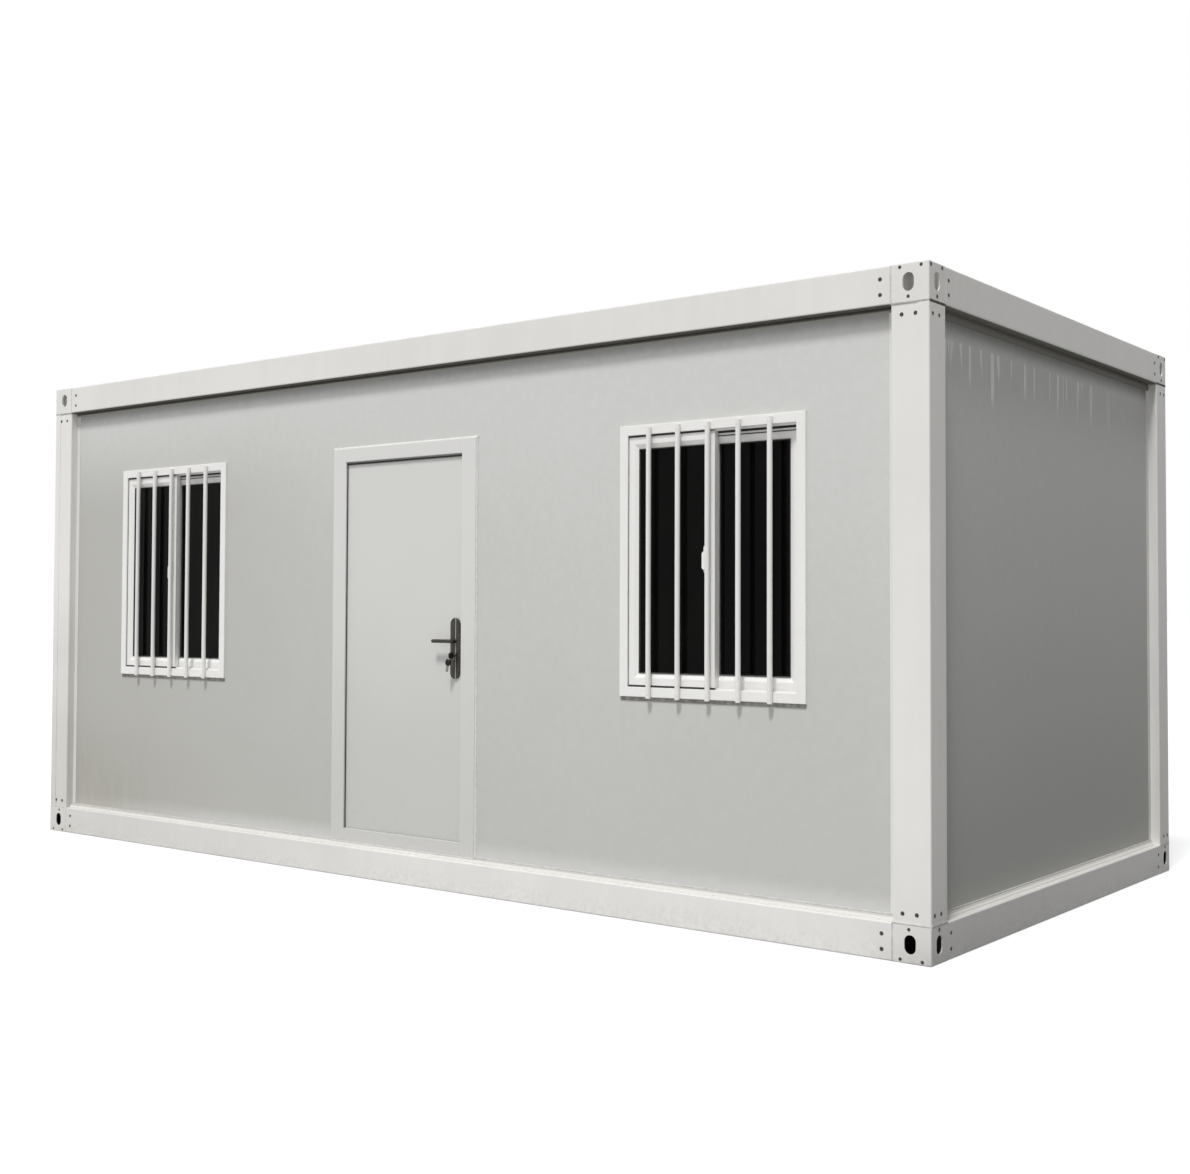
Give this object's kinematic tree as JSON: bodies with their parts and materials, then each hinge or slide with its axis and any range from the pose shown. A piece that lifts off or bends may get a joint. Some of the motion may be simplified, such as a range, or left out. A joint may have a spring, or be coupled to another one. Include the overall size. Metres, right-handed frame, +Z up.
{
  "type": "prefab cabin",
  "caption": "Flat-roofed box cabin with a bolted steel frame, slotted corner boxes, pale wall panels, an inward-opening door with a lever and sliding windows behind round bars.",
  "frame": {"origin": "on the ground under the middle of the cabin", "axes": "+X along the length to the right as the front is faced, front wall faces -Y, +Z up"},
  "size_m": [6.055, 2.93, 2.8],
  "materials": {
    "frame_white": "satin off-white paint on folded steel",
    "corner_white": "satin off-white paint on welded plate",
    "wall_panel": "matt pale grey coating on steel-faced panel",
    "edge_track": "satin off-white folded steel",
    "floor_board": "plain cement-bonded floor board",
    "floor_steel": "galvanised folded steel",
    "roof_steel": "galvanised ribbed sheet",
    "ceiling_white": "plain white lining",
    "door_frame": "satin pale grey paint",
    "door_leaf": "satin pale grey paint",
    "hinge_steel": "plain steel",
    "lock_dark": "dark satin coating",
    "lock_cylinder": "darkened brass",
    "window_white": "white extruded frame",
    "window_glass": "clear glass before a dark room",
    "bar_white": "white painted round bar"
  },
  "bodies": {
    "root": {"bottom_beam_front": "frame_white", "top_beam_front": "frame_white", "bottom_beam_rear": "frame_white", "top_beam_rear": "frame_white", "bottom_beam_right": "frame_white", "top_beam_right": "frame_white", "bottom_beam_left": "frame_white", "top_beam_left": "frame_white", "bottom_corner_front_left": "corner_white", "corner_post_front_left": "frame_white", "top_corner_front_left": "corner_white", "bottom_corner_front_right": "corner_white", "corner_post_front_right": "frame_white", "top_corner_front_right": "corner_white", "bottom_corner_rear_left": "corner_white", "corner_post_rear_left": "frame_white", "top_corner_rear_left": "corner_white", "bottom_corner_rear_right": "corner_white", "corner_post_rear_right": "frame_white", "top_corner_rear_right": "corner_white", "floor_joists": "floor_steel", "floor_deck": "floor_board", "roof_purlins": "floor_steel", "roof_sheet": "roof_steel", "ceiling": "ceiling_white", "wall_tracks": "edge_track", "front_wall_left": "wall_panel", "front_wall_over_door": "wall_panel", "front_wall_right": "wall_panel", "rear_wall": "wall_panel", "right_wall": "wall_panel", "left_wall": "wall_panel", "door_frame": "door_frame", "door_hinges_fixed": "hinge_steel", "left_window_frame": "window_white", "left_window_sashes": "window_white", "right_window_frame": "window_white", "right_window_sashes": "window_white", "window_glass": "window_glass", "window_bars": "bar_white"},
    "door": {"door_leaf": "door_leaf", "door_hinges_moving": "hinge_steel", "door_lock_plates": "lock_dark", "door_lock_cylinder": "lock_cylinder"},
    "lever": {"door_lever": "lock_dark"}
  },
  "joints": [
    {"name": "door_hinge", "type": "hinge", "parent": "root", "child": "door", "pos_m": [-0.3875, -1.352, 1.215], "axis": [0, 0, 1], "range_deg": [0, 110]},
    {"name": "lever_turn", "type": "hinge", "parent": "door", "child": "lever", "pos_m": [0.421, -1.411, 1.243], "axis": [0, -1, 0], "range_deg": [0, 45], "stiffness_Nm_per_rad": 1.5, "springref_deg": -28.65}
  ]
}
